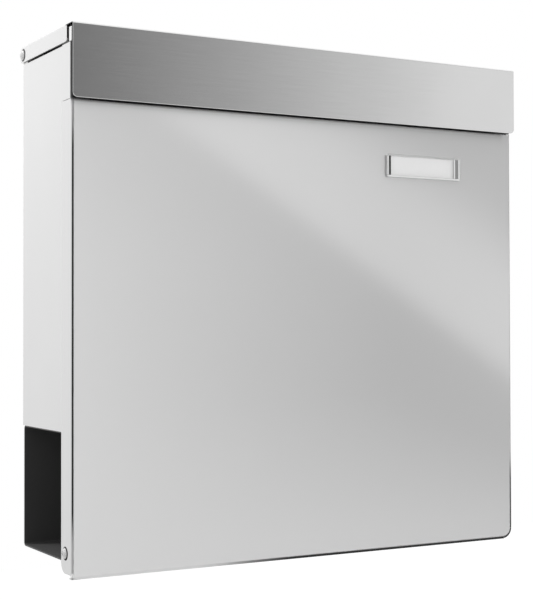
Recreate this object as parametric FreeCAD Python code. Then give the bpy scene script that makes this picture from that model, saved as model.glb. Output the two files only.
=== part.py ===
import FreeCAD, Part
import math
import os

# Wall mounted mailbox: folded steel case, lift-up lid with a stainless apron,
# tip-out front door with a cam lock behind the apron, and a newspaper channel
# that is open at both sides.
#
# The pieces are drawn with x across, y back from the door's front face and z up
# from the door's bottom edge. move_to_frame then puts the origin at the middle of
# the four wall-screw holes, on the wall plane. Millimetres throughout.

# ---- overall ----
WALL_PLANE = 104.0          # front of the door to the wall
CASE_REAR = 100.0           # front of the door to the rear of the case
PATTERN_HEIGHT = 226.0      # centre of the wall-screw pattern above the door's bottom edge
PATTERN_WIDTH = 250.0
PATTERN_DROP = 180.0

# ---- sheet ----
CASE_SHEET = 1.0
SKIN_SHEET = 0.8            # door, lid and apron
BEND = 1.6                  # outer radius of the folds
MARGIN = 1.0                # how far a cutting block runs past what it cuts
OVERLAP = 0.3               # how far joined pieces are let into each other

# ---- case ----
CASE_HALF = 184.5
CASE_FRONT = 2.0
CASE_TOP = 358.5
FLOOR_HEIGHT = 96.5         # underside of the letter compartment
STRIP_REAR = 19.0           # rear edge of the strips that carry the door pivots
STRIP_ROUND = 5.0
FRONT_RETURN = 12.5
EAR_TOP = 369.7
EAR_FRONT = 90.0
EAR_ROUND = 3.0
EAR_FILLET = 2.0
TOP_HEM = 10.0
HEM_HALF = 181.0
BOSS_BASE = 16.0
BOSS_FACE = 11.0
WALL_HOLE = 3.25

# ---- newspaper channel and compartment floor ----
CHANNEL_FRONT = 18.0
CHANNEL_REAR = 99.0
CHANNEL_BOTTOM = 9.5
CHANNEL_CORNER = 3.0
CHANNEL_RIVET_X = (-120.0, 0.0, 120.0)
CHANNEL_RIVET_Y = (35.0, 80.0)
FLOOR_LIP = 17.0
FLOOR_LIP_DEPTH = 4.0
FLOOR_SIDE = 11.0

# ---- door ----
DOOR_HALF = 185.6
DOOR_TOP = 319.7
DOOR_FLANGE_TOP = 320.1
DOOR_FLANGE_BOTTOM = 2.5
DOOR_FLANGE_DEPTH = 19.0
DOOR_FLANGE_ROUND = 7.0
DOOR_FLANGE_NOSE = 1.0
DOOR_CORNER = 8.0
DOOR_RETURN_HALF = 168.0
DOOR_RETURN_DEPTH = 22.0
DOOR_LIP = 8.0
DOOR_FOLD_REACH = 4.0       # how far up or down the front plate the folds start
DOOR_FOOT_DEPTH = 4.0
DOOR_PIVOT_Y = 12.0
DOOR_PIVOT_Z = 16.0

# ---- header rail behind the apron ----
HEADER_HALF = 185.5
HEADER_BOTTOM = 320.6
HEADER_TOP = 359.5
HEADER_ROUND = 4.0
HEADER_TOP_RETURN = 14.0
HEADER_FOOT = 6.0
HEADER_FOOT_GAP = 2.0

# ---- lid ----
LID_TOP = 371.8
LID_BEND = 1.2              # outer radius of the folds at its sides
LID_FLANGE_BOTTOM = 360.0
LID_FLANGE_FRONT = 9.0
LID_FLANGE_ROUND = 3.0
LID_REAR = 102.0
LID_REAR_ROUND = 5.0
LID_INNER_HALF = 180.5
LID_FRONT = 1.0
LID_REAR_DROP = 361.0
LID_PIVOT_Y = 97.0
LID_PIVOT_Z = 365.3

# ---- apron ----
APRON_HALF = 186.5
APRON_FRONT = -4.3
APRON_BOTTOM = 320.5
APRON_TOP = 371.0
APRON_CORNER = 3.5
APRON_EDGE = 0.25           # broken edge round the front plate
APRON_TAB_REAR = 2.5
APRON_TAB_BOTTOM = 358.5
APRON_TAB_TOP = 368.0
APRON_RIVET_X = (-150.0, -75.0, 0.0, 75.0, 150.0)
APRON_RIVET_Y = 5.0

# ---- pivots and fasteners ----
PIVOT_SHANK = 2.0
PIVOT_HEAD = 3.6
PIVOT_HEAD_HEIGHT = 1.9
PIVOT_TAIL = 2.8
PIVOT_TAIL_HEIGHT = 1.2
PIVOT_WASHER = 3.2
WASHER_THICK = 0.8
PIVOT_SEAT = 185.8          # inner face of the pivot heads
SLEEVE_OUTER = 3.0
RUNNING_GAP = 0.08
NUT_FLATS = 7.0
NUT_THICK = 3.2
RIVET_SHANK = 1.6
RIVET_HEAD = 3.0
RIVET_HEAD_HEIGHT = 0.8
RIVET_TAIL = 2.5
RIVET_TAIL_HEIGHT = 1.3
CROSS_LONG = 3.8            # cross recess in the screw heads
CROSS_WIDE = 0.9
CROSS_FLOOR = 0.9           # recess floor above the head's seat

# ---- cam lock ----
LOCK_HEIGHT = 338.0
LOCK_THREAD = 8.0
LOCK_FLAT = 6.8
LOCK_HEAD = 10.0
LOCK_HEAD_HEIGHT = 2.2
LOCK_HEAD_BEVEL = 0.6
LOCK_REAR = 14.4
PLUG_RADIUS = 5.9
KEYWAY_WIDTH = 1.8
KEYWAY_HEIGHT = 7.0
KEYWAY_DEPTH = 9.0
TAIL_SQUARE = 6.0
CAM_FRONT = 14.6
CAM_THICK = 1.5
CAM_REACH = 32.0
CAM_HALF_WIDTH = 7.0
CAM_SCREW_RADIUS = 2.0
CAM_SCREW_HEAD = 4.0
CAM_SCREW_HEAD_HEIGHT = 2.2
CAM_SCREW_DEPTH = 4.0
CAM_SLOT_CLEAR = 2.2
LOCK_NUT_FLATS = 21.0
LOCK_NUT_THICK = 4.0

# ---- name plate ----
PLATE_LEFT = 66.5
PLATE_RIGHT = 134.7
PLATE_BOTTOM = 280.4
PLATE_TOP = 298.0
PLATE_RISE = 2.2
PLATE_CORNER = 1.5
PLATE_BEVEL = 0.5
POCKET_LEFT = 70.2
POCKET_RIGHT = 129.0
POCKET_EDGE = 1.5
POCKET_DEPTH = 0.8
LABEL_GAP = 0.3
LABEL_FRONT = -0.55
LABEL_BACK = -0.1
LEG_SPANS = ((67.9, 69.5), (129.9, 132.6))
LEG_BOTTOM = 282.1
LEG_TOP = 296.3
LEG_DEPTH = 4.0
LEG_GAP = 0.2
CLIP_HALF = 4.0
CLIP_OVERLAP = 2.2
CLIP_SHEET = 0.5
CLIP_ROUND = 1.0

# ---- rubber pieces ----
PAD_X = 177.5
PAD_HEIGHTS = (130.0, 290.0)
PAD_RADIUS = 4.0
PAD_THICK = 1.0
STOP_X = 112.0
STOP_Y = 8.0
STOP_RADIUS = 4.0
STOP_BASE = 5.0
STOP_STEM = 2.0
STOP_STEM_DEPTH = 2.5
STOP_GAP = 0.3

TOUCH = 0.01                # closer than this counts as the same place

V = FreeCAD.Vector
PLANE_NORMAL = {"XY": V(0, 0, 1), "YZ": V(1, 0, 0), "XZ": V(0, 1, 0)}


def in_plane(plane, a, b, height):
    """Point with plane coordinates a and b, at a height along the plane's normal."""
    if plane == "XY":
        return V(a, b, height)
    if plane == "YZ":
        return V(height, a, b)
    return V(a, height, b)


def rounded_face(plane, corners, height):
    """Flat face through corners (a, b) or (a, b, radius); a radius rounds its corner."""
    points = [in_plane(plane, corner[0], corner[1], height) for corner in corners]
    count = len(points)
    pieces = []
    for i, corner in enumerate(corners):
        here = points[i]
        if len(corner) == 2:
            pieces.append((here, None, here))
            continue
        back = (points[i - 1] - here).normalize()
        ahead = (points[(i + 1) % count] - here).normalize()
        half = back.getAngle(ahead) / 2
        reach = corner[2] / math.tan(half)
        inward = (back + ahead).normalize()
        middle = here + inward * (corner[2] / math.sin(half) - corner[2])
        pieces.append((here + back * reach, middle, here + ahead * reach))
    edges = []
    for i, (enter, middle, leave) in enumerate(pieces):
        if middle is not None:
            edges.append(Part.Arc(enter, middle, leave).toShape())
        following = pieces[(i + 1) % count][0]
        if leave.distanceToPoint(following) > TOUCH / 10:
            edges.append(Part.LineSegment(leave, following).toShape())
    return Part.Face(Part.Wire(edges))


def prism(plane, corners, start, end):
    """Outline in a plane, drawn out along the plane's normal from start to end."""
    return rounded_face(plane, corners, start).extrude(PLANE_NORMAL[plane] * (end - start))


def block(x0, x1, y0, y1, z0, z1):
    return Part.makeBox(x1 - x0, y1 - y0, z1 - z0, V(x0, y0, z0))


def rod(axis, radius, start, end, a, b):
    """Cylinder along axis X, Y or Z from start to end; a and b are its other two places."""
    direction = {"X": V(1, 0, 0), "Y": V(0, 1, 0), "Z": V(0, 0, 1)}[axis]
    base = {"X": V(start, a, b), "Y": V(a, start, b), "Z": V(a, b, start)}[axis]
    return Part.makeCylinder(radius, end - start, base, direction)


def ring(axis, outer, inner, start, end, a, b):
    return rod(axis, outer, start, end, a, b).cut(rod(axis, inner, start, end, a, b))


def dome(base, direction, radius, height):
    """Low round-topped head: a slice of a ball standing on its flat side."""
    ball = (radius ** 2 + height ** 2) / (2 * height)
    centre = base + direction * (height - ball)
    slab = Part.makeCylinder(radius + MARGIN, height, base, direction)
    return Part.makeSphere(ball, centre).common(slab)


def hexagon(plane, flats, start, end, a, b):
    """Hexagonal prism, flats apart, centred on a and b in the plane."""
    reach = flats / math.sqrt(3)
    corners = []
    for i in range(6):
        turn = math.radians(60 * i + 30)
        corners.append((a + reach * math.cos(turn), b + reach * math.sin(turn)))
    return prism(plane, corners, start, end)


def front_edges(shape, front):
    """Edges that lie in the plane y = front."""
    return [edge for edge in shape.Edges if edge.BoundBox.YMax < front + TOUCH]


def cross(plane, start, end, a, b):
    """Cutter for a cross recess, centred on a and b in the plane."""
    bars = []
    for wide, tall in ((CROSS_LONG, CROSS_WIDE), (CROSS_WIDE, CROSS_LONG)):
        corners = [
            (a - wide / 2, b - tall / 2), (a + wide / 2, b - tall / 2),
            (a + wide / 2, b + tall / 2), (a - wide / 2, b + tall / 2),
        ]
        bars.append(prism(plane, corners, start, end))
    return bars[0].fuse(bars[1])


def mirrored(shape):
    return shape.mirror(V(0, 0, 0), V(1, 0, 0))


def pair(shape):
    """The same piece at both sides of the box."""
    return Part.makeCompound([shape, mirrored(shape)])


def tray_section(half, depth, sheet):
    """Channel seen from above: a front plate with a side flange folded back at each end."""
    inner = half - sheet
    return [
        (-half, depth), (-half, 0, BEND), (half, 0, BEND), (half, depth),
        (inner, depth), (inner, sheet, BEND - sheet), (-inner, sheet, BEND - sheet), (-inner, depth),
    ]


# ---------------------------------------------------------------- case

def case_section():
    """Case seen from above: rear panel, two sides and a narrow return at each front edge."""
    outer = CASE_HALF
    inner = CASE_HALF - CASE_SHEET
    tip = CASE_HALF - FRONT_RETURN
    front = CASE_FRONT
    rear = CASE_REAR
    sheet = CASE_SHEET
    fold = BEND - sheet
    return [
        (-tip, front), (-outer, front, BEND), (-outer, rear, BEND),
        (outer, rear, BEND), (outer, front, BEND), (tip, front),
        (tip, front + sheet), (inner, front + sheet, fold), (inner, rear - sheet, fold),
        (-inner, rear - sheet, fold), (-inner, front + sheet, fold), (-tip, front + sheet),
    ]


def case_side_outline():
    """Side view of the case: the foot of each front strip turns about the door's pivot."""
    foot = DOOR_PIVOT_Y - CASE_FRONT
    bottom = DOOR_PIVOT_Z - foot
    return [
        (CASE_FRONT, bottom, foot), (STRIP_REAR, bottom, STRIP_ROUND), (STRIP_REAR, FLOOR_HEIGHT),
        (CASE_REAR, FLOOR_HEIGHT), (CASE_REAR, EAR_TOP, EAR_ROUND), (EAR_FRONT, EAR_TOP, EAR_ROUND),
        (EAR_FRONT, CASE_TOP, EAR_FILLET), (CASE_FRONT, CASE_TOP),
    ]


def wall_boss(x, z):
    """Shallow cup pressed out of the rear panel, so that the box stands off the wall."""
    sheet = CASE_SHEET
    slope = BOSS_BASE - BOSS_FACE
    profile = Part.makePolygon([
        V(BOSS_BASE, CASE_REAR - sheet, 0),
        V(BOSS_BASE, CASE_REAR, 0),
        V(BOSS_BASE - slope, WALL_PLANE, 0),
        V(WALL_HOLE, WALL_PLANE, 0),
        V(WALL_HOLE, WALL_PLANE - sheet, 0),
        V(BOSS_BASE - slope - sheet / 2, WALL_PLANE - sheet, 0),
        V(BOSS_BASE - sheet / 2, CASE_REAR - sheet, 0),
        V(BOSS_BASE, CASE_REAR - sheet, 0),
    ])
    cup = Part.Face(profile).revolve(V(0, 0, 0), V(0, 1, 0), 360)
    cup.translate(V(x, 0, z))
    return cup


def boss_places():
    places = []
    for x in (-PATTERN_WIDTH / 2, PATTERN_WIDTH / 2):
        for z in (PATTERN_HEIGHT - PATTERN_DROP / 2, PATTERN_HEIGHT + PATTERN_DROP / 2):
            places.append((x, z))
    return places


def side_holes(radius, y, z):
    """Cutters for a hole through both sides of the case, door or lid."""
    near = HEADER_HALF - BEND - MARGIN
    return pair(rod("X", radius, near, APRON_HALF, y, z))


def rear_hem():
    """Rear panel's top edge, folded flat against its outside."""
    hem_rear = CASE_REAR + CASE_SHEET
    return block(-HEM_HALF, HEM_HALF, CASE_REAR - OVERLAP, hem_rear, CASE_TOP - TOP_HEM, CASE_TOP)


def body_shell():
    inner = CASE_HALF - CASE_SHEET
    shell = prism("XY", case_section(), 0, EAR_TOP)
    shell = shell.common(prism("YZ", case_side_outline(), -CASE_HALF - MARGIN, CASE_HALF + MARGIN))
    ear_start = EAR_FRONT - EAR_FILLET
    shell = shell.cut(block(-inner, inner, ear_start, CASE_REAR + MARGIN, CASE_TOP, EAR_TOP + MARGIN))
    shell = shell.fuse(rear_hem())
    for x, z in boss_places():
        shell = shell.cut(rod("Y", BOSS_BASE, CASE_REAR - CASE_SHEET - MARGIN, CASE_REAR + MARGIN, x, z))
        shell = shell.fuse(wall_boss(x, z))
    shell = shell.cut(side_holes(PIVOT_SHANK, DOOR_PIVOT_Y, DOOR_PIVOT_Z))
    shell = shell.cut(side_holes(PIVOT_SHANK, LID_PIVOT_Y, LID_PIVOT_Z))
    return shell.removeSplitter()


def compartment_floor():
    half = CASE_HALF - CASE_SHEET
    inner = half - CASE_SHEET
    base = FLOOR_HEIGHT
    top = FLOOR_HEIGHT + CASE_SHEET
    fold = BEND - CASE_SHEET
    section = [
        (-half, base + FLOOR_SIDE), (-half, base, BEND), (half, base, BEND), (half, base + FLOOR_SIDE),
        (inner, base + FLOOR_SIDE), (inner, top, fold), (-inner, top, fold), (-inner, base + FLOOR_SIDE),
    ]
    lip_front = CASE_FRONT + CASE_SHEET
    lip_half = half - FRONT_RETURN
    plate = prism("XZ", section, lip_front + CASE_SHEET, CASE_REAR - BEND)
    lip_rear = lip_front + FLOOR_LIP_DEPTH
    lip_back = lip_front + CASE_SHEET
    lip_section = [
        (lip_front, base + FLOOR_LIP), (lip_front, base, BEND), (lip_rear, base),
        (lip_rear, top), (lip_back, top, fold), (lip_back, base + FLOOR_LIP),
    ]
    floor = plate.fuse(prism("YZ", lip_section, -lip_half, lip_half))
    for x, y in channel_rivet_places():
        floor = floor.cut(rod("Z", RIVET_SHANK, base - MARGIN, top + MARGIN, x, y))
    return floor.removeSplitter()


def channel_outline(inset):
    """Side view of the channel, with the four sides moved in by inset."""
    corner = CHANNEL_CORNER - inset
    front = CHANNEL_FRONT + inset
    rear = CHANNEL_REAR - inset
    bottom = CHANNEL_BOTTOM + inset
    top = FLOOR_HEIGHT - inset
    return [(front, bottom, corner), (rear, bottom, corner), (rear, top, corner), (front, top, corner)]


def newspaper_channel():
    half = CASE_HALF - CASE_SHEET
    outer = prism("YZ", channel_outline(0), -half, half)
    inner = prism("YZ", channel_outline(CASE_SHEET), -half - MARGIN, half + MARGIN)
    tube = outer.cut(inner)
    hole_start = FLOOR_HEIGHT - CASE_SHEET - MARGIN
    for x, y in channel_rivet_places():
        tube = tube.cut(rod("Z", RIVET_SHANK, hole_start, FLOOR_HEIGHT + MARGIN, x, y))
    return tube


def channel_rivet_places():
    return [(x, y) for x in CHANNEL_RIVET_X for y in CHANNEL_RIVET_Y]


def blind_rivet(x, y, low, high):
    """Rivet along Z that clamps the sheets between low and high, with its head on top."""
    shank = rod("Z", RIVET_SHANK, low - RIVET_TAIL_HEIGHT, high + OVERLAP, x, y)
    head = dome(V(x, y, high), V(0, 0, 1), RIVET_HEAD, RIVET_HEAD_HEIGHT)
    tail = rod("Z", RIVET_TAIL, low - RIVET_TAIL_HEIGHT, low, x, y)
    return shank.fuse([head, tail]).removeSplitter()


def channel_rivets():
    low = FLOOR_HEIGHT - CASE_SHEET
    high = FLOOR_HEIGHT + CASE_SHEET
    return Part.makeCompound([blind_rivet(x, y, low, high) for x, y in channel_rivet_places()])


def front_header():
    sheet = CASE_SHEET
    rail = prism("XY", tray_section(HEADER_HALF, STRIP_REAR, sheet), HEADER_BOTTOM, HEADER_TOP)
    side_view = [
        (-MARGIN, HEADER_BOTTOM), (STRIP_REAR, HEADER_BOTTOM),
        (STRIP_REAR, HEADER_TOP, HEADER_ROUND), (-MARGIN, HEADER_TOP),
    ]
    rail = rail.common(prism("YZ", side_view, -HEADER_HALF - MARGIN, HEADER_HALF + MARGIN))
    let_in = sheet - OVERLAP
    top_half = CASE_HALF - CASE_SHEET
    rail = rail.fuse(block(-top_half, top_half, let_in, HEADER_TOP_RETURN, HEADER_TOP - sheet, HEADER_TOP))
    foot_half = CASE_HALF - FRONT_RETURN - HEADER_FOOT_GAP
    rail = rail.fuse(block(-foot_half, foot_half, let_in, HEADER_FOOT, HEADER_BOTTOM, HEADER_BOTTOM + sheet))
    rail = rail.cut(lock_barrel(RUNNING_GAP, -MARGIN, sheet + MARGIN))
    for x in (-STOP_X, STOP_X):
        rail = rail.cut(rod("Z", STOP_STEM, HEADER_TOP - sheet - MARGIN, HEADER_TOP + MARGIN, x, STOP_Y))
    return rail.removeSplitter()


# ---------------------------------------------------------------- lock

def lock_barrel(gap, start, end):
    """Round barrel with a flat above and below, grown by gap all round."""
    barrel = rod("Y", LOCK_THREAD + gap, start, end, 0, LOCK_HEIGHT)
    reach = LOCK_THREAD + MARGIN
    flat = LOCK_FLAT + gap
    return barrel.common(block(-reach, reach, start, end, LOCK_HEIGHT - flat, LOCK_HEIGHT + flat))


def lock_housing():
    head = rod("Y", LOCK_HEAD, -LOCK_HEAD_HEIGHT, 0, 0, LOCK_HEIGHT)
    head = head.makeChamfer(LOCK_HEAD_BEVEL, front_edges(head, -LOCK_HEAD_HEIGHT))
    housing = head.fuse(lock_barrel(0, -OVERLAP, LOCK_REAR))
    bore_start = -LOCK_HEAD_HEIGHT - MARGIN
    bore = rod("Y", PLUG_RADIUS + RUNNING_GAP, bore_start, LOCK_REAR + MARGIN, 0, LOCK_HEIGHT)
    return housing.cut(bore).removeSplitter()


def lock_washer():
    hole = LOCK_THREAD + RUNNING_GAP
    return ring("Y", LOCK_HEAD + MARGIN, hole, CASE_SHEET, 2 * CASE_SHEET, 0, LOCK_HEIGHT)


def lock_nut():
    start = 2 * CASE_SHEET
    end = start + LOCK_NUT_THICK
    nut = hexagon("XZ", LOCK_NUT_FLATS, start, end, 0, LOCK_HEIGHT)
    return nut.cut(rod("Y", LOCK_THREAD + RUNNING_GAP, start, end, 0, LOCK_HEIGHT))


def square_bar(size, start, end):
    half = size / 2
    return block(-half, half, start, end, LOCK_HEIGHT - half, LOCK_HEIGHT + half)


def lock_plug():
    front = -LOCK_HEAD_HEIGHT + OVERLAP
    plug = rod("Y", PLUG_RADIUS, front, LOCK_REAR, 0, LOCK_HEIGHT)
    plug = plug.fuse(square_bar(TAIL_SQUARE, LOCK_REAR - OVERLAP, CAM_FRONT + CAM_THICK))
    half = KEYWAY_WIDTH / 2
    drop = KEYWAY_HEIGHT / 2
    keyway = block(-half, half, front - MARGIN, front + KEYWAY_DEPTH, LOCK_HEIGHT - drop, LOCK_HEIGHT + drop)
    hole_start = LOCK_REAR - CAM_SCREW_DEPTH
    screw_hole = rod("Y", CAM_SCREW_RADIUS, hole_start, CAM_FRONT + CAM_THICK + MARGIN, 0, LOCK_HEIGHT)
    return plug.cut(keyway).cut(screw_hole).removeSplitter()


def lock_cam():
    """Flat arm that lies level when unlocked and drops through the door's slot to lock."""
    half = CAM_HALF_WIDTH
    end = half - TOUCH
    outline = [
        (-half, LOCK_HEIGHT - half, end), (CAM_REACH, LOCK_HEIGHT - half, end),
        (CAM_REACH, LOCK_HEIGHT + half, end), (-half, LOCK_HEIGHT + half, end),
    ]
    rear = CAM_FRONT + CAM_THICK
    arm = prism("XZ", outline, CAM_FRONT, rear)
    return arm.cut(square_bar(TAIL_SQUARE, CAM_FRONT - MARGIN, rear + MARGIN))


def cam_washer():
    start = CAM_FRONT + CAM_THICK
    outer = CAM_SCREW_HEAD + MARGIN
    return ring("Y", outer, CAM_SCREW_RADIUS, start, start + WASHER_THICK, 0, LOCK_HEIGHT)


def cam_screw():
    seat = CAM_FRONT + CAM_THICK + WASHER_THICK
    shank = rod("Y", CAM_SCREW_RADIUS, LOCK_REAR - CAM_SCREW_DEPTH, seat + OVERLAP, 0, LOCK_HEIGHT)
    head = dome(V(0, seat, LOCK_HEIGHT), V(0, 1, 0), CAM_SCREW_HEAD, CAM_SCREW_HEAD_HEIGHT)
    top = seat + CAM_SCREW_HEAD_HEIGHT
    recess = cross("XZ", seat + CROSS_FLOOR, top + MARGIN, 0, LOCK_HEIGHT)
    return shank.fuse(head).cut(recess).removeSplitter()


# ---------------------------------------------------------------- door

def door_panel():
    sheet = SKIN_SHEET
    door = prism("XY", tray_section(DOOR_HALF, DOOR_FLANGE_DEPTH, sheet), 0, DOOR_FLANGE_TOP)
    flange_view = [
        (BEND, DOOR_FLANGE_BOTTOM, DOOR_FLANGE_NOSE),
        (DOOR_FLANGE_DEPTH, DOOR_FLANGE_BOTTOM, DOOR_FLANGE_ROUND),
        (DOOR_FLANGE_DEPTH, DOOR_FLANGE_TOP), (BEND, DOOR_FLANGE_TOP),
    ]
    out = DOOR_HALF + MARGIN
    above = DOOR_FLANGE_TOP + MARGIN
    side_view = prism("YZ", flange_view, -out, out)
    front_slab = block(-out, out, -MARGIN, BEND, -MARGIN, above)
    door = door.common(side_view.fuse(front_slab))
    inside = DOOR_HALF - BEND
    door = door.cut(block(-inside, inside, -MARGIN, BEND + MARGIN, DOOR_TOP, above))
    door = door.fuse(top_return()).fuse(door_foot())
    edge = DOOR_HALF - DOOR_CORNER
    door = door.cut(block(edge, out, -MARGIN, DOOR_FLANGE_DEPTH + MARGIN, -MARGIN, DOOR_CORNER))
    door = door.fuse(drawn_corner())
    door = door.cut(cam_slot())
    for first, last in LEG_SPANS:
        door = door.cut(leg_block(first, last, LEG_GAP, -MARGIN, sheet + MARGIN))
    door = door.cut(side_holes(SLEEVE_OUTER + RUNNING_GAP, DOOR_PIVOT_Y, DOOR_PIVOT_Z))
    return door.removeSplitter()


def leg_block(first, last, gap, start, end):
    """Block the size of a leg of the name cover, grown by gap across and up."""
    return block(first - gap, last + gap, start, end, LEG_BOTTOM - gap, LEG_TOP + gap)


def top_return():
    """Fold at the top of the door with a turned-down lip; the cam drops through it."""
    sheet = SKIN_SHEET
    depth = DOOR_RETURN_DEPTH
    under = DOOR_TOP - sheet
    start = under - DOOR_FOLD_REACH
    section = [
        (0, start), (0, DOOR_TOP, BEND), (depth, DOOR_TOP, BEND), (depth, DOOR_TOP - DOOR_LIP),
        (depth - sheet, DOOR_TOP - DOOR_LIP), (depth - sheet, under, BEND - sheet),
        (sheet, under, BEND - sheet), (sheet, start),
    ]
    return prism("YZ", section, -DOOR_RETURN_HALF, DOOR_RETURN_HALF)


def foot_section(top):
    """Short fold along the bottom edge, small enough to pass under the channel."""
    sheet = SKIN_SHEET
    return [
        (0, top), (0, 0, BEND), (DOOR_FOOT_DEPTH, 0), (DOOR_FOOT_DEPTH, sheet),
        (sheet, sheet, BEND - sheet), (sheet, top),
    ]


def door_foot():
    return prism("YZ", foot_section(DOOR_FOLD_REACH), -DOOR_HALF, DOOR_HALF - DOOR_CORNER)


def drawn_corner():
    """Lower right corner: the bottom fold is carried round it into the side flange."""
    start = DOOR_HALF - DOOR_CORNER
    face = rounded_face("YZ", foot_section(DOOR_CORNER), start)
    return face.revolve(V(start, 0, DOOR_CORNER), V(0, -1, 0), 90)


def cam_slot():
    """Slot in the door's top return for the cam, over its whole quarter turn."""
    clear = CAM_SLOT_CLEAR
    reach = math.sqrt(CAM_REACH ** 2 - (LOCK_HEIGHT - DOOR_TOP) ** 2) + clear
    return block(
        -CAM_HALF_WIDTH - clear, reach, CAM_FRONT - clear, CAM_FRONT + CAM_THICK + clear,
        DOOR_TOP - BEND, DOOR_TOP + MARGIN,
    )


def door_pivot_screws():
    """Cross-head screws that the door turns on, one at each side."""
    shank_end = CASE_HALF - CASE_SHEET - NUT_THICK - MARGIN
    shank = rod("X", PIVOT_SHANK, shank_end, PIVOT_SEAT + OVERLAP, DOOR_PIVOT_Y, DOOR_PIVOT_Z)
    head = dome(V(PIVOT_SEAT, DOOR_PIVOT_Y, DOOR_PIVOT_Z), V(1, 0, 0), PIVOT_HEAD, PIVOT_HEAD_HEIGHT)
    top = PIVOT_SEAT + PIVOT_HEAD_HEIGHT
    recess = cross("YZ", PIVOT_SEAT + CROSS_FLOOR, top + MARGIN, DOOR_PIVOT_Y, DOOR_PIVOT_Z)
    return pair(shank.fuse(head).cut(recess).removeSplitter())


def door_pivot_sleeves():
    return pair(ring("X", SLEEVE_OUTER, PIVOT_SHANK, CASE_HALF, PIVOT_SEAT, DOOR_PIVOT_Y, DOOR_PIVOT_Z))


def door_pivot_nuts():
    outer = CASE_HALF - CASE_SHEET
    nut = hexagon("YZ", NUT_FLATS, outer - NUT_THICK, outer, DOOR_PIVOT_Y, DOOR_PIVOT_Z)
    return pair(nut.cut(rod("X", PIVOT_SHANK, outer - NUT_THICK, outer, DOOR_PIVOT_Y, DOOR_PIVOT_Z)))


def door_pads():
    """Soft dots on the inside of the door that meet the case's front returns."""
    pads = []
    for x in (-PAD_X, PAD_X):
        for z in PAD_HEIGHTS:
            pads.append(rod("Y", PAD_RADIUS, SKIN_SHEET, SKIN_SHEET + PAD_THICK, x, z))
    return Part.makeCompound(pads)


def name_cover():
    """Clear cover with a pocket for the label and two legs through the door."""
    outline = [
        (PLATE_LEFT, PLATE_BOTTOM, PLATE_CORNER), (PLATE_RIGHT, PLATE_BOTTOM, PLATE_CORNER),
        (PLATE_RIGHT, PLATE_TOP, PLATE_CORNER), (PLATE_LEFT, PLATE_TOP, PLATE_CORNER),
    ]
    cover = prism("XZ", outline, -PLATE_RISE, 0)
    cover = cover.makeChamfer(PLATE_BEVEL, front_edges(cover, -PLATE_RISE))
    cover = cover.cut(block(
        POCKET_LEFT, POCKET_RIGHT, -POCKET_DEPTH, MARGIN, PLATE_BOTTOM + POCKET_EDGE, PLATE_TOP - POCKET_EDGE,
    ))
    for first, last in LEG_SPANS:
        cover = cover.fuse(leg_block(first, last, 0, -OVERLAP, LEG_DEPTH))
    return cover.removeSplitter()


def name_label():
    edge = POCKET_EDGE + LABEL_GAP
    return block(
        POCKET_LEFT + LABEL_GAP, POCKET_RIGHT - LABEL_GAP, LABEL_FRONT, LABEL_BACK,
        PLATE_BOTTOM + edge, PLATE_TOP - edge,
    )


def name_clips():
    """Push-on plates that hold the cover's legs on the inside of the door."""
    clips = []
    for first, last in LEG_SPANS:
        middle = (first + last) / 2
        left = middle - CLIP_HALF
        right = middle + CLIP_HALF
        low = LEG_BOTTOM - CLIP_OVERLAP
        high = LEG_TOP + CLIP_OVERLAP
        turn = CLIP_ROUND
        outline = [(left, low, turn), (right, low, turn), (right, high, turn), (left, high, turn)]
        clip = prism("XZ", outline, SKIN_SHEET, SKIN_SHEET + CLIP_SHEET)
        clips.append(clip.cut(leg_block(first, last, 0, 0, LEG_DEPTH)))
    return Part.makeCompound(clips)


# ---------------------------------------------------------------- lid

def lid_cover():
    sheet = SKIN_SHEET
    under = LID_TOP - sheet
    fold = LID_BEND - sheet
    long_section = [
        (LID_FRONT, under), (LID_FRONT, LID_TOP),
        (LID_REAR, LID_TOP, LID_REAR_ROUND), (LID_REAR, LID_REAR_DROP),
        (LID_REAR - sheet, LID_REAR_DROP), (LID_REAR - sheet, under, LID_REAR_ROUND - sheet),
    ]
    middle = prism("YZ", long_section, -LID_INNER_HALF, LID_INNER_HALF)
    half = DOOR_HALF
    inner = half - sheet
    cross_section = [
        (-half, LID_FLANGE_BOTTOM), (-half, LID_TOP, LID_BEND),
        (half, LID_TOP, LID_BEND), (half, LID_FLANGE_BOTTOM),
        (inner, LID_FLANGE_BOTTOM), (inner, under, fold), (-inner, under, fold), (-inner, LID_FLANGE_BOTTOM),
    ]
    sides = prism("XZ", cross_section, LID_FLANGE_FRONT, LID_REAR)
    flange_view = [
        (LID_FLANGE_FRONT, LID_FLANGE_BOTTOM, LID_FLANGE_ROUND),
        (LID_REAR, LID_FLANGE_BOTTOM, LID_FLANGE_ROUND),
        (LID_REAR, LID_TOP, LID_REAR_ROUND), (LID_FLANGE_FRONT, LID_TOP),
    ]
    sides = sides.common(prism("YZ", flange_view, -half - MARGIN, half + MARGIN))
    lid = middle.fuse(sides)
    for x in APRON_RIVET_X:
        lid = lid.cut(rod("Z", RIVET_SHANK, under - MARGIN, LID_TOP + MARGIN, x, APRON_RIVET_Y))
    lid = lid.cut(side_holes(PIVOT_SHANK + RUNNING_GAP, LID_PIVOT_Y, LID_PIVOT_Z))
    return lid.removeSplitter()


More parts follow.
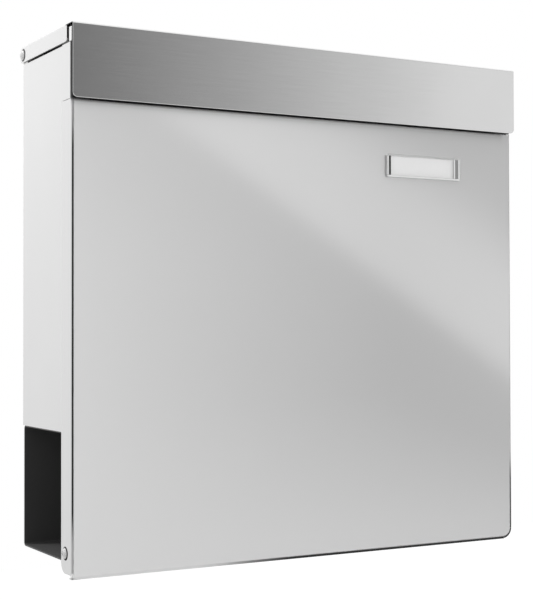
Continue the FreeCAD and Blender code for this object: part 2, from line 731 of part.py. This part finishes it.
def lid_apron():
    """Stainless L: a front plate over the header and a return that the lid's front edge lies on."""
    sheet = SKIN_SHEET
    front = APRON_FRONT
    back = front + sheet
    under = APRON_TOP - sheet
    section = [
        (front, APRON_BOTTOM), (front, APRON_TOP, BEND), (LID_FLANGE_FRONT, APRON_TOP),
        (LID_FLANGE_FRONT, under), (back, under, BEND - sheet), (back, APRON_BOTTOM),
    ]
    apron = prism("YZ", section, -APRON_HALF, APRON_HALF)
    front_view = [
        (-APRON_HALF, APRON_BOTTOM, APRON_CORNER), (APRON_HALF, APRON_BOTTOM, APRON_CORNER),
        (APRON_HALF, APRON_TOP), (-APRON_HALF, APRON_TOP),
    ]
    apron = apron.common(prism("XZ", front_view, front - MARGIN, LID_FLANGE_FRONT + MARGIN))
    fold = APRON_TOP - BEND - TOUCH
    rim = [edge for edge in front_edges(apron, front) if edge.BoundBox.ZMin < fold]
    apron = apron.makeChamfer(APRON_EDGE, rim)
    tab = block(
        APRON_HALF - sheet, APRON_HALF, back - OVERLAP, APRON_TAB_REAR, APRON_TAB_BOTTOM, APRON_TAB_TOP,
    )
    apron = apron.fuse([tab, mirrored(tab)])
    for x in APRON_RIVET_X:
        apron = apron.cut(rod("Z", RIVET_SHANK, under - MARGIN, APRON_TOP + MARGIN, x, APRON_RIVET_Y))
    return apron.removeSplitter()


def apron_rivets():
    under = APRON_TOP - SKIN_SHEET
    return Part.makeCompound([blind_rivet(x, APRON_RIVET_Y, under, LID_TOP) for x in APRON_RIVET_X])


def lid_pivot_rivets():
    """Rivets that the lid turns on, headed outside and closed over a washer inside."""
    inside = CASE_HALF - CASE_SHEET - WASHER_THICK
    end = inside - PIVOT_TAIL_HEIGHT
    shank = rod("X", PIVOT_SHANK, end, PIVOT_SEAT + OVERLAP, LID_PIVOT_Y, LID_PIVOT_Z)
    head = dome(V(PIVOT_SEAT, LID_PIVOT_Y, LID_PIVOT_Z), V(1, 0, 0), PIVOT_HEAD, PIVOT_HEAD_HEIGHT)
    tail = rod("X", PIVOT_TAIL, end, inside, LID_PIVOT_Y, LID_PIVOT_Z)
    return pair(shank.fuse([head, tail]).removeSplitter())


def lid_pivot_washers():
    outer = CASE_HALF - CASE_SHEET
    return pair(ring("X", PIVOT_WASHER, PIVOT_SHANK, outer - WASHER_THICK, outer, LID_PIVOT_Y, LID_PIVOT_Z))


def lid_stops():
    """Rubber stops pushed into the header's top return; the closed lid's front edge rests on them."""
    stops = []
    top = APRON_TOP - SKIN_SHEET - STOP_GAP
    for x in (-STOP_X, STOP_X):
        post = Part.makeCone(STOP_BASE, STOP_RADIUS, top - HEADER_TOP, V(x, STOP_Y, HEADER_TOP))
        stem = rod("Z", STOP_STEM, HEADER_TOP - STOP_STEM_DEPTH, HEADER_TOP + OVERLAP, x, STOP_Y)
        stops.append(post.fuse(stem).removeSplitter())
    return Part.makeCompound(stops)


PIECES = (
    body_shell, compartment_floor, newspaper_channel, channel_rivets, front_header,
    lock_housing, lock_washer, lock_nut, lock_plug, lock_cam, cam_washer, cam_screw,
    door_panel, door_pivot_screws, door_pivot_sleeves, door_pivot_nuts, door_pads,
    name_cover, name_label, name_clips,
    lid_cover, lid_apron, apron_rivets, lid_pivot_rivets, lid_pivot_washers, lid_stops,
)


def move_to_frame(shape):
    shape.translate(V(0, -WALL_PLANE, -PATTERN_HEIGHT))
    return shape


def main():
    os.makedirs("parts", exist_ok=True)
    for make_piece in PIECES:
        shape = move_to_frame(make_piece())
        shape.exportStep("parts/" + make_piece.__name__ + ".step")


main()
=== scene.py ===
import math

import bpy
from mathutils import Matrix, Vector


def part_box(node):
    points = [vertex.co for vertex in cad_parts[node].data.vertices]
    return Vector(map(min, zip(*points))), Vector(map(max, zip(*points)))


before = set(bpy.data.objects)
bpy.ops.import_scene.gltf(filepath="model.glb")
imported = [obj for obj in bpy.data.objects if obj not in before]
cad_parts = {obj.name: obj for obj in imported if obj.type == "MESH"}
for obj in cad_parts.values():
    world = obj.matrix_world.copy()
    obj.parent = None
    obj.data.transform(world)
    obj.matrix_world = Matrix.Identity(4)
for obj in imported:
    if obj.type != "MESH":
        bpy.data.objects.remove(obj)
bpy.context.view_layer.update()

# A wall mounted mailbox in a plain white studio. Lengths are metres in the CAD frame, unless a
# comment says millimetres: +X to the viewer's right, +Y into the wall, +Z up.

DOOR_LOW, DOOR_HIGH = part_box("door_panel")
PLATE_LOW, PLATE_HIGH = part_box("name_cover")
FRONT = DOOR_LOW.y                       # plane of the door's front face
FOOT = DOOR_LOW.z                        # door's bottom edge
HALF_WIDTH = DOOR_HIGH.x                 # middle to the door's side face
MM = 1000.0                              # millimetres in a metre

# Camera, measured from the middle of the door's bottom edge
EYE = Vector((-0.5235, FRONT - 0.8665, FOOT + 0.167))
TURN = math.radians(29.304)              # to the right of straight ahead
TILT = math.radians(1.1325)              # above the horizon
ROLL = math.radians(-0.125)
LENS_MM = 83.2
SENSOR_MM = 36.0
NEAREST_SEEN = 0.01
FARTHEST_SEEN = 50.0

WORLD_LEFT_RIGHT = (0.58, 1.15)          # brightness of the surroundings at far left and far right
WORLD_RISE = 0.1                         # how much brighter straight up than level
WORLD_FRONT = 0.2                        # brightness of the room behind the camera
WORLD_FRONT_EDGE = (-0.74, -0.45)        # Y of the directions where the room ends

LEFT_LAMP_PLACE = (-0.8, 0.3, 0.65)
LEFT_LAMP_SIZE = 0.4
LEFT_LAMP_WATTS = 5.7
PLATE_LAMP_PLACE = Vector((0.0, -1.0, 0.2))  # from the middle of the name plate
PLATE_LAMP_SIZE = 0.3
PLATE_LAMP_WATTS = 5.4

CARD_DISTANCE = 1.5                      # the nearest card stands this far in front of the wall
CARD_STEP = 0.05                         # and each further card this much behind it
BAND_LEVEL = 2.4                         # strength of the light strip at its left end
BAND_GAIN = 0.35                         # and how much it grows along the strip
SWEEP_LEVEL = 5.85
SWEEP_START = 0.136                      # U where the light starts to fade
SWEEP_POWER = 0.8
SWEEP_LEAST = 2.3
RAMP_GAIN = 1.09
RAMP_POWER = 1.2
RAMP_MOST = 0.68

FLOOR_DROP = 1.1                         # floor below the door's bottom edge
FLOOR_HALF = 6.0

# Shade painted into the pieces' colour, in design millimetres: X across from the middle, Y back from
# the door's front, Z up from its foot. A pair is where a shade starts and where it ends.
SHADE_TONE = 0.01                        # grey painted where shade falls on paint and steel
SHADE_EDGE = 0.1                         # softness of a shade's edge
HEAD_PLACE_LID = (96.2, 365.3)           # Y and Z of the shade beside the pivot heads
HEAD_PLACE_DOOR = (11.3, 16.0)
HEAD_RADIUS = 4.5
HEAD_EDGE = 0.3
HEAD_X = (185.0, 185.2)

HEADER_BEND_X = (184.2, 184.8)
HEADER_BEND_Y = (2.8, 3.4)
HEADER_FOOT_Y = (1.7, 2.1)
HEADER_FOOT_Z = (323.0, 325.0)
HEADER_LIP_X = (185.2, 185.4)
HEADER_LIP_Z = (358.3, 358.7)

LID_INSIDE_X = (184.85, 184.95)
LID_INSIDE_Y = (1.7, 100.9)
LID_INSIDE_Z = (371.05, 371.15)
LID_EDGE_X = (184.6, 184.7)
LID_EDGE_Y = (9.1, 9.3)
LID_EDGE_Z = (370.8, 371.2)

# Grey painted on the door as shade: along its folds, under the apron and round the pivot heads
DOOR_SHADE_TONE = 0.02
DOOR_FRONT_Y = (1.6, 2.2)
DOOR_LEFT_BEND = (-0.75, -0.2)           # X of the normal on the left bend
DOOR_LEFT_BEND_EDGE = 0.08
DOOR_LEFT_LOW_Z = (20.0, 45.0)
DOOR_LEFT_HIGH_Z = (285.0, 316.0)
DOOR_LEFT_LEAST = 0.15                   # of the left bend's shade, above all that
DOOR_FOOT_X = (-100.0, -10.0)
DOOR_FOOT_LEAST = 0.1                    # of the foot's shade, at the left
DOOR_FOOT_Z = (1.3, 2.4)
DOOR_CORNER = (177.6, 8.0)               # middle of the round lower right corner
DOOR_CORNER_RADII = (6.2, 8.6)
DOOR_CORNER_EDGE = 0.8
DOOR_CORNER_X = (177.0, 178.0)
DOOR_CORNER_Z = (7.5, 8.5)
DOOR_RIGHT_X = (182.9, 184.0)
DOOR_RIGHT_HIGH_Z = (45.0, 75.0)
UNDER_APRON_Z = 319.9                    # the shade under the apron is full here
UNDER_APRON_DEPTH = 1.9                  # and weaker by a factor of e this much lower
UNDER_APRON_MOST = 0.8
UNDER_APRON_X = (175.0, 180.0)

APRON_RIM_X = (186.15, 186.25)
APRON_RIM_Z = (320.75, 320.85)
APRON_EDGE_Y = (-4.02, -1.9)
APRON_EDGE_SOFT = 0.03
APRON_EDGE_Z = (369.0, 369.3)
APRON_FOLD_NORMAL = (0.7, 0.9)           # X of the normal on the folds
APRON_FOLD_Z = (368.0, 368.1)
APRON_UNDER_NORMAL = (-0.3, -0.5)        # Z of the normal under the return
APRON_UNDER_Z = (369.0, 369.2)
TAB_X = (185.5, 185.6)
TAB_Y = (-1.9, 3.0)
TAB_Z = (358.4, 367.9)
TAB_TONE = 0.9

# Painted shade in the slots of the cover's legs, and painted highlight lines along its edges
COVER_EDGE = 0.2
COVER_LINE_EDGE = 0.1
COVER_TALL_Z = (282.0, 296.4)            # height of the legs
COVER_DARK_X = (67.9, 69.5)              # left slot
COVER_GREY_X = (129.9, 132.5)            # right slot
COVER_LINES_X = ((66.0, 67.5), (128.4, 129.6), (133.0, 133.8))
COVER_FOOT_Z = (280.4, 281.6)

NOISE_SPREAD = (0.3, 0.7)                # a noise texture's values lie mostly between these


# ---------------------------------------------------------------- node helpers

class Shader:
    """A material's or world's node tree, with short calls to add and join nodes."""

    def __init__(self, tree):
        self.tree = tree
        tree.nodes.clear()

    def add(self, kind, **settings):
        node = self.tree.nodes.new(kind)
        for name, value in settings.items():
            setattr(node, name, value)
        return node

    def join(self, source, target):
        self.tree.links.new(source, target)

    def feed(self, value, socket):
        """Puts a number, colour or another node's output into a socket."""
        if isinstance(value, bpy.types.NodeSocket):
            self.join(value, socket)
        else:
            socket.default_value = value

    def math(self, operation, first, second=0.0, third=0.0):
        node = self.add("ShaderNodeMath", operation=operation)
        for value, socket in zip((first, second, third), node.inputs):
            self.feed(value, socket)
        return node.outputs[0]

    def span(self, value, start, end, low=0.0, high=1.0, smooth=True):
        """Maps value from start..end to low..high, held beyond the ends."""
        curve = "SMOOTHSTEP" if smooth else "LINEAR"
        node = self.add("ShaderNodeMapRange", interpolation_type=curve)
        settings = {"Value": value, "From Min": start, "From Max": end, "To Min": low, "To Max": high}
        for name, part in settings.items():
            self.feed(part, node.inputs[name])
        return node.outputs["Result"]

    def fall(self, value, start, end, last=0.0):
        """1 up to start, and last from end on."""
        return self.span(value, start, end, 1.0, last)

    def between(self, value, low, high, soft):
        """1 between low and high, with soft edges outside them."""
        return self.every(self.span(value, low - soft, low), self.fall(value, high, high + soft))

    def vary(self, noise, low, high):
        """A value that wanders between low and high with a noise texture."""
        return self.span(noise, *NOISE_SPREAD, low, high)

    def size(self, value):
        return self.math("ABSOLUTE", value)

    def every(self, *masks):
        """1 where all masks are 1."""
        total = masks[0]
        for mask in masks[1:]:
            total = self.math("MULTIPLY", total, mask)
        return total

    def any(self, *masks):
        """1 where at least one mask is 1."""
        total = masks[0]
        for mask in masks[1:]:
            total = self.math("MAXIMUM", total, mask)
        return total

    def towards(self, value, target, mask):
        """value where mask is 0, target where it is 1."""
        node = self.add("ShaderNodeMix", data_type="FLOAT")
        self.feed(mask, node.inputs["Factor"])
        self.feed(value, node.inputs["A"])
        self.feed(target, node.inputs["B"])
        return node.outputs["Result"]

    def ring(self, across, up, middle, inner, outer, soft):
        """1 between two radii round a middle point."""
        one = self.math("POWER", self.math("SUBTRACT", across, middle[0]), 2.0)
        two = self.math("POWER", self.math("SUBTRACT", up, middle[1]), 2.0)
        return self.between(self.math("SQRT", self.math("ADD", one, two)), inner, outer, soft)

    def coordinates(self, kind):
        return self.add("ShaderNodeTexCoord").outputs[kind]

    def parts(self, vector):
        """X, Y and Z of a vector."""
        node = self.add("ShaderNodeSeparateXYZ")
        self.join(vector, node.inputs[0])
        return tuple(node.outputs)

    def place(self):
        """Object coordinates, which are the CAD frame's for every node."""
        return self.coordinates("Object")

    def spot(self):
        """The place in design millimetres: X from the middle, Y back from the door's front, Z
        above its foot."""
        x, y, z = self.parts(self.place())
        return (
            self.math("MULTIPLY", x, MM),
            self.math("MULTIPLY_ADD", y, MM, third=-MM * FRONT),
            self.math("MULTIPLY_ADD", z, MM, third=-MM * FOOT),
        )

    def facing(self):
        """X, Y and Z of the normal in the CAD frame."""
        return self.parts(self.coordinates("Normal"))

    def noise(self, vector, scale, detail=3.0, roughness=0.5, stretch=(1.0, 1.0, 1.0)):
        mapping = self.add("ShaderNodeMapping")
        self.join(vector, mapping.inputs["Vector"])
        mapping.inputs["Scale"].default_value = stretch
        node = self.add("ShaderNodeTexNoise")
        self.join(mapping.outputs[0], node.inputs["Vector"])
        node.inputs["Scale"].default_value = scale
        node.inputs["Detail"].default_value = detail
        node.inputs["Roughness"].default_value = roughness
        return node.outputs["Fac"]

    def grey(self, value):
        """A grey colour from one number."""
        node = self.add("ShaderNodeCombineColor")
        for socket in node.inputs[:3]:
            self.join(value, socket)
        return node.outputs[0]

    def bump(self, height, distance, strength):
        node = self.add("ShaderNodeBump")
        self.join(height, node.inputs["Height"])
        node.inputs["Distance"].default_value = distance
        node.inputs["Strength"].default_value = strength
        return node.outputs[0]

    def surface(self, **inputs):
        """Principled shader on the output, with sockets given by name (spaces as underscores)."""
        shader = self.add("ShaderNodeBsdfPrincipled")
        for name, value in inputs.items():
            self.feed(value, shader.inputs[name.replace("_", " ")])
        output = self.add("ShaderNodeOutputMaterial")
        self.join(shader.outputs[0], output.inputs["Surface"])


def new_material(name):
    material = bpy.data.materials.new(name)
    material.use_nodes = True
    return material, Shader(material.node_tree)


def dress(material, *nodes):
    """Gives CAD nodes a material, in place of the one they were packed with."""
    for name in nodes:
        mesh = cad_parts[name].data
        mesh.materials.clear()
        mesh.materials.append(material)


# ---------------------------------------------------------------- materials

def head_shade(s, middle):
    """Shade on a side face, round the pivot head at Y and Z."""
    x, y, z = s.spot()
    disc = s.ring(y, z, middle, 0.0, HEAD_RADIUS, HEAD_EDGE)
    return s.every(disc, s.span(s.size(x), *HEAD_X))


def header_shade(s):
    """Painted shade in the deep slot between header and apron, on the header's bottom edge and its
    two bends, and along the top of its sides under the lid.
    """
    x, y, z = s.spot()
    bends = s.every(s.span(s.size(x), *HEADER_BEND_X), s.fall(y, *HEADER_BEND_Y))
    foot = s.every(s.fall(z, *HEADER_FOOT_Z), s.fall(y, *HEADER_FOOT_Y))
    lip = s.every(s.span(z, *HEADER_LIP_Z), s.span(s.size(x), *HEADER_LIP_X))
    return s.any(bends, foot, lip)


def lid_shade(s):
    """Painted shade on the inside of the lid, on the front edges of its flanges and round the pivot
    heads.
    """
    x, y, z = s.spot()
    inside = s.every(
        s.fall(z, *LID_INSIDE_Z), s.fall(s.size(x), *LID_INSIDE_X),
        s.between(y, *LID_INSIDE_Y, SHADE_EDGE),
    )
    edge = s.every(
        s.span(s.size(x), *LID_EDGE_X), s.fall(y, *LID_EDGE_Y), s.fall(z, *LID_EDGE_Z),
    )
    return s.any(inside, edge, head_shade(s, HEAD_PLACE_LID))


def white_paint(name, shade=None):
    """Smooth white powder coat: a faint orange peel, slightly uneven in gloss, with any given shade
    painted in as dark grey.
    """
    material, s = new_material(name)
    where = s.place()
    cloud = s.noise(where, 9.0, 2.0)
    peel = s.noise(where, 900.0, 2.0)
    tone = s.vary(cloud, 0.79, 0.81)
    if shade:
        tone = s.towards(tone, SHADE_TONE, shade(s))
    s.surface(
        Base_Color=s.grey(tone), Roughness=s.vary(peel, 0.32, 0.42),
        Coat_Weight=0.25, Coat_Roughness=0.15, Normal=s.bump(peel, 0.00004, 0.6),
    )
    return material


def door_shade(s):
    """Painted shade: dark lines along the folds, the shadow under the apron and round the pivot
    heads.
    """
    x, y, z = s.spot()
    sideways = s.facing()[0]
    left = s.every(
        s.between(sideways, *DOOR_LEFT_BEND, DOOR_LEFT_BEND_EDGE),
        s.span(z, *DOOR_LEFT_LOW_Z), s.fall(z, *DOOR_LEFT_HIGH_Z, DOOR_LEFT_LEAST),
    )
    foot = s.every(
        s.fall(z, *DOOR_FOOT_Z), s.span(x, *DOOR_FOOT_X, DOOR_FOOT_LEAST, 1.0),
        s.fall(x, *DOOR_CORNER_X),
    )
    corner = s.every(
        s.ring(x, z, DOOR_CORNER, *DOOR_CORNER_RADII, DOOR_CORNER_EDGE),
        s.span(x, *DOOR_CORNER_X), s.fall(z, *DOOR_CORNER_Z),
    )
    right = s.every(
        s.span(x, *DOOR_RIGHT_X), s.span(z, *DOOR_CORNER_Z), s.fall(z, *DOOR_RIGHT_HIGH_Z),
    )
    depth = s.math("DIVIDE", s.math("SUBTRACT", z, UNDER_APRON_Z), UNDER_APRON_DEPTH)
    under = s.every(
        s.math("MULTIPLY", s.math("EXPONENT", depth), UNDER_APRON_MOST), s.fall(x, *UNDER_APRON_X),
    )
    front = s.every(s.fall(y, *DOOR_FRONT_Y), s.any(foot, corner, right, under))
    return s.any(left, front, head_shade(s, HEAD_PLACE_DOOR))


def door_paint():
    """High-gloss white coat over the folded door, with its painted shade in a dark, matt grey."""
    material, s = new_material("door_paint")
    where = s.place()
    cloud = s.noise(where, 7.0, 2.0)
    peel = s.noise(where, 700.0, 2.0)
    shade = door_shade(s)
    tone = s.towards(s.vary(cloud, 0.79, 0.80), DOOR_SHADE_TONE, shade)
    rough = s.towards(s.vary(peel, 0.07, 0.10), 1.0, shade)
    s.surface(
        Base_Color=s.grey(tone), Roughness=rough, IOR=1.6, Normal=s.bump(peel, 0.00002, 0.3),
    )
    return material


def apron_shade(s):
    """Painted shade on the cut edges, the underside of the return and the folds beside the corner
    tabs.
    """
    x, y, z = s.spot()
    facing_x, facing_y, facing_z = s.facing()
    rim = s.any(s.span(s.size(x), *APRON_RIM_X), s.fall(z, *APRON_RIM_Z))
    edge = s.every(rim, s.between(y, *APRON_EDGE_Y, APRON_EDGE_SOFT), s.fall(z, *APRON_EDGE_Z))
    fold = s.every(s.span(s.size(facing_x), *APRON_FOLD_NORMAL), s.span(z, *APRON_FOLD_Z))
    under = s.every(s.span(facing_z, *APRON_UNDER_NORMAL), s.span(z, *APRON_UNDER_Z))
    return s.any(edge, fold, under)


def apron_tabs(s):
    """1 on the corner tabs, which are coated white like the case."""
    x, y, z = s.spot()
    return s.every(
        s.span(s.size(x), *TAB_X), s.between(y, *TAB_Y, SHADE_EDGE), s.between(z, *TAB_Z, SHADE_EDGE),
    )


def apron_steel():
    """Stainless sheet brushed along its length, close to polished, with painted shade on its edges,
    folds and return.
    """
    material, s = new_material("apron_steel")
    where = s.place()
    brush = s.noise(where, 60.0, 4.0, 0.7, (0.4, 20.0, 20.0))
    cloud = s.noise(where, 14.0, 2.0)
    steel = s.math("ADD", s.vary(brush, 0.76, 0.80), s.vary(cloud, -0.01, 0.01))
    tabs = apron_tabs(s)
    tone = s.towards(s.towards(steel, SHADE_TONE, apron_shade(s)), TAB_TONE, tabs)
    s.surface(
        Base_Color=s.grey(tone), Metallic=s.math("SUBTRACT", 1.0, tabs),
        Roughness=s.vary(brush, 0.13, 0.19), Normal=s.bump(brush, 0.00002, 0.15),
    )
    return material


def channel_black():
    """Matte black coat inside and outside the newspaper channel."""
    material, s = new_material("channel_black")
    where = s.place()
    grain = s.noise(where, 1200.0, 3.0)
    cloud = s.noise(where, 12.0, 2.0)
    s.surface(
        Base_Color=s.grey(s.vary(cloud, 0.09, 0.105)), Roughness=s.vary(grain, 0.45, 0.6),
        Normal=s.bump(grain, 0.00005, 0.7),
    )
    return material


def turned_steel(name, low, high, rough, metal=1.0):
    """Bright or plated steel with fine turning marks; metal under 1 is a milky zinc coat."""
    material, s = new_material(name)
    marks = s.noise(s.place(), 1500.0, 2.0, 0.6, (1.0, 0.3, 1.0))
    s.surface(
        Base_Color=s.grey(s.vary(marks, low, high)), Metallic=metal,
        Roughness=s.vary(marks, rough, rough + 0.12), Normal=s.bump(marks, 0.00002, 0.3),
    )
    return material


def cover_clear():
    """Clear acrylic: mostly see-through, with painted highlights along its moulded edges and painted
    shade in the slots of its legs."""
    material, s = new_material("cover_clear")
    x, y, z = s.spot()
    haze = s.noise(s.place(), 40.0, 2.0)
    tall = s.between(z, *COVER_TALL_Z, COVER_EDGE)
    dark = s.every(tall, s.between(x, *COVER_DARK_X, COVER_EDGE))
    grey = s.every(tall, s.between(x, *COVER_GREY_X, COVER_EDGE))
    lines = s.any(*(s.between(x, *line, COVER_LINE_EDGE) for line in COVER_LINES_X))
    edges = s.any(s.every(tall, lines), s.between(z, *COVER_FOOT_Z, COVER_EDGE))
    # Painted shade: near black in the left slot, grey in the right; the edge lines are painted
    # highlights, nearly opaque white
    tone = s.towards(s.towards(0.93, 0.05, dark), 0.3, grey)
    s.surface(
        Base_Color=s.grey(tone), Roughness=s.vary(haze, 0.04, 0.08),
        Alpha=s.towards(0.15, 0.9, s.any(dark, grey, edges)), Coat_Weight=0.5, Coat_Roughness=0.03,
    )
    return material


def label_paper():
    """Blank card with a little fibre in it."""
    material, s = new_material("label_paper")
    fibre = s.noise(s.place(), 2500.0, 3.0, 0.6, (1.0, 1.0, 0.4))
    s.surface(
        Base_Color=s.grey(s.vary(fibre, 0.88, 0.93)), Roughness=0.85,
        Normal=s.bump(fibre, 0.00005, 0.5),
    )
    return material


def pad_rubber():
    """Soft black rubber with a fine grain."""
    material, s = new_material("pad_rubber")
    grain = s.noise(s.place(), 1800.0, 3.0)
    s.surface(
        Base_Color=s.grey(s.vary(grain, 0.035, 0.06)), Roughness=s.vary(grain, 0.65, 0.85),
        Normal=s.bump(grain, 0.00005, 0.6),
    )
    return material


def dress_all():
    """Puts each material on its nodes."""
    plated = turned_steel("rivet_steel", 0.5, 0.62, 0.3)
    bright = turned_steel("screw_steel", 0.84, 0.92, 0.25, 0.5)
    nickel = turned_steel("lock_chrome", 0.62, 0.7, 0.12)
    rubber = pad_rubber()
    dress(white_paint("case_paint"), "body_shell", "compartment_floor")
    dress(white_paint("header_paint", header_shade), "front_header")
    dress(white_paint("lid_paint", lid_shade), "lid_cover")
    dress(door_paint(), "door_panel")
    dress(apron_steel(), "lid_apron")
    dress(channel_black(), "newspaper_channel")
    dress(bright, "door_pivot_screws", "lid_pivot_rivets", "apron_rivets")
    dress(
        plated, "channel_rivets", "lock_washer", "lock_nut", "lock_cam", "cam_washer", "cam_screw",
        "door_pivot_sleeves", "door_pivot_nuts", "name_clips", "lid_pivot_washers",
    )
    dress(nickel, "lock_housing", "lock_plug")
    dress(cover_clear(), "name_cover")
    dress(label_paper(), "name_label")
    dress(rubber, "door_pads", "lid_stops")


# ---------------------------------------------------------------- studio

def studio_world():
    """Bright surroundings at the sides, above and behind, a darker room in front, white backdrop."""
    world = bpy.data.worlds.new("studio")
    bpy.context.scene.world = world
    world.use_nodes = True
    s = Shader(world.node_tree)
    x, y, z = s.parts(s.coordinates("Generated"))
    across = s.span(x, -1.0, 1.0, *WORLD_LEFT_RIGHT, smooth=False)
    sides = s.math("ADD", across, s.math("MULTIPLY", z, WORLD_RISE))
    level = s.towards(sides, WORLD_FRONT, s.fall(y, *WORLD_FRONT_EDGE))
    surroundings = s.add("ShaderNodeBackground")
    s.join(s.grey(level), surroundings.inputs["Color"])
    backdrop = s.add("ShaderNodeBackground")
    backdrop.inputs["Color"].default_value = (1.0, 1.0, 1.0, 1.0)
    seen = s.add("ShaderNodeLightPath")
    mix = s.add("ShaderNodeMixShader")
    s.join(seen.outputs["Is Camera Ray"], mix.inputs[0])
    s.join(surroundings.outputs[0], mix.inputs[1])
    s.join(backdrop.outputs[0], mix.inputs[2])
    output = s.add("ShaderNodeOutputWorld")
    s.join(mix.outputs[0], output.inputs["Surface"])


def add_object(name, data):
    obj = bpy.data.objects.new(name, data)
    bpy.context.scene.collection.objects.link(obj)
    return obj


def lit_only(name, obj, nodes):
    """Lets a card or lamp light only the named nodes."""
    receivers = bpy.data.collections.new(name + "_receivers")
    for node in nodes:
        receivers.objects.link(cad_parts[node])
    obj.light_linking.receiver_collection = receivers


def on_card(x, z, distance):
    """Where a card must be for the door to show it at x from its middle and z above its foot."""
    image = Vector((EYE.x, 2 * FRONT - EYE.y, EYE.z))
    spot = Vector((x, FRONT, FOOT + z))
    reach = (image.y + distance) / (image.y - FRONT)
    return image + (spot - image) * reach


def upright(left, right, low, high):
    """Corners of a card with level and upright sides."""
    return (left, low), (right, low), (right, high), (left, high)


def card(name, row, corners, shade, *seen_by):
    """Glowing card that only reflections on the named nodes see. Its corners are places in the
    door's mirror, and its UV runs from 0 to 1 along the first side (U) and up the second (V)."""
    distance = CARD_DISTANCE + row * CARD_STEP
    mesh = bpy.data.meshes.new(name)
    mesh.from_pydata([on_card(x, z, distance) for x, z in corners], [], [(0, 1, 2, 3)])
    layer = mesh.uv_layers.new(name="UVMap")
    for loop, uv in zip(layer.data, upright(0.0, 1.0, 0.0, 1.0)):
        loop.uv = uv
    obj = add_object(name, mesh)
    material, s = new_material(name)
    u, v = s.parts(s.coordinates("UV"))[:2]
    glow = s.add("ShaderNodeEmission")
    s.join(shade(s, u, v), glow.inputs["Strength"])
    clear = s.add("ShaderNodeBsdfTransparent")
    both = s.add("ShaderNodeAddShader")
    s.join(glow.outputs[0], both.inputs[0])
    s.join(clear.outputs[0], both.inputs[1])
    output = s.add("ShaderNodeOutputMaterial")
    s.join(both.outputs[0], output.inputs["Surface"])
    mesh.materials.append(material)
    obj.visible_camera = False
    obj.visible_diffuse = False
    obj.visible_shadow = False
    lit_only(name, obj, seen_by)


def band(s, u, v):
    """Light strip with a soft lower edge and a long fade above it, a little stronger at the right."""
    strength = s.math("MULTIPLY_ADD", u, BAND_GAIN, third=BAND_LEVEL)
    return s.every(strength, s.span(v, 0.0, 0.11), s.fall(v, 0.33, 0.72, 0.22))


def sweep(s, u, v):
    """Even light that fades towards the right, less so low down."""
    steep = s.span(v, 0.2, 0.4, 2.6, 6.1, smooth=False)
    past_start = s.math("MAXIMUM", s.math("SUBTRACT", u, SWEEP_START), 0.0)
    across = s.math("POWER", past_start, SWEEP_POWER)
    level = s.math("SUBTRACT", SWEEP_LEVEL, s.math("MULTIPLY", steep, across))
    return s.every(s.math("MAXIMUM", level, SWEEP_LEAST), s.fall(v, 0.55, 0.78, 0.86))


def ramp(s, u, v):
    """Light that grows towards the right and then holds."""
    grown = s.math("MULTIPLY", s.math("POWER", u, RAMP_POWER), RAMP_GAIN)
    return s.math("MINIMUM", grown, RAMP_MOST)


def cards():
    strip = ((-0.24, 0.379), (0.26, 0.069), (0.40, 0.20), (-0.05, 0.52))
    card("door_band", 0, strip, band, "door_panel")
    card("door_sweep", 1, upright(-0.25, 0.25, -0.10, 0.45), sweep, "door_panel")
    card("apron_ramp", 2, upright(-0.20, 0.30, 0.22, 0.55), ramp, "lid_apron")


def soft_light(name, place, aim, size, power):
    """Square lamp at place, turned towards aim, that leaves no highlight."""
    lamp = bpy.data.lights.new(name, "AREA")
    lamp.size = size
    lamp.energy = power
    obj = add_object(name, lamp)
    direction = Vector(aim) - Vector(place)
    obj.rotation_euler = direction.to_track_quat("-Z", "Y").to_euler()
    obj.location = place
    obj.visible_camera = False
    obj.visible_glossy = False
    return obj


def lights():
    side = (-HALF_WIDTH, FRONT / 2, 0.0)
    soft_light("left_lamp", LEFT_LAMP_PLACE, side, LEFT_LAMP_SIZE, LEFT_LAMP_WATTS)
    plate = (PLATE_LOW + PLATE_HIGH) / 2
    lamp = soft_light(
        "plate_lamp", plate + PLATE_LAMP_PLACE, plate, PLATE_LAMP_SIZE, PLATE_LAMP_WATTS
    )
    lit_only("plate_lamp", lamp, ("name_cover", "name_label"))


def floor():
    """Plain pale floor that the object doesn't mirror."""
    mesh = bpy.data.meshes.new("floor")
    corners = upright(-FLOOR_HALF, FLOOR_HALF, -FLOOR_HALF, FLOOR_HALF)
    mesh.from_pydata([(x, y, FOOT - FLOOR_DROP) for x, y in corners], [], [(0, 1, 2, 3)])
    obj = add_object("floor", mesh)
    material, s = new_material("floor")
    speckle = s.noise(s.place(), 30.0, 2.0)
    s.surface(
        Base_Color=s.grey(s.vary(speckle, 0.1, 0.12)), Roughness=0.8,
        Emission_Color=(1.0, 1.0, 1.0, 1.0), Emission_Strength=0.9,
    )
    mesh.materials.append(material)
    obj.visible_diffuse = False
    obj.visible_glossy = False


def camera():
    data = bpy.data.cameras.new("camera")
    data.lens = LENS_MM
    data.sensor_width = SENSOR_MM
    data.clip_start = NEAREST_SEEN
    data.clip_end = FARTHEST_SEEN
    obj = add_object("camera", data)
    turn = Matrix.Rotation(-TURN, 4, "Z")
    tilt = Matrix.Rotation(math.pi / 2 + TILT, 4, "X")
    roll = Matrix.Rotation(ROLL, 4, "Z")
    obj.matrix_world = Matrix.Translation(EYE) @ turn @ tilt @ roll
    bpy.context.scene.camera = obj


def colours():
    """Shows the studio's light as it is, with no film curve."""
    view = bpy.context.scene.view_settings
    view.view_transform = "Standard"
    view.look = "None"
    view.exposure = 0.0
    view.gamma = 1.0


dress_all()
studio_world()
cards()
lights()
floor()
camera()
colours()
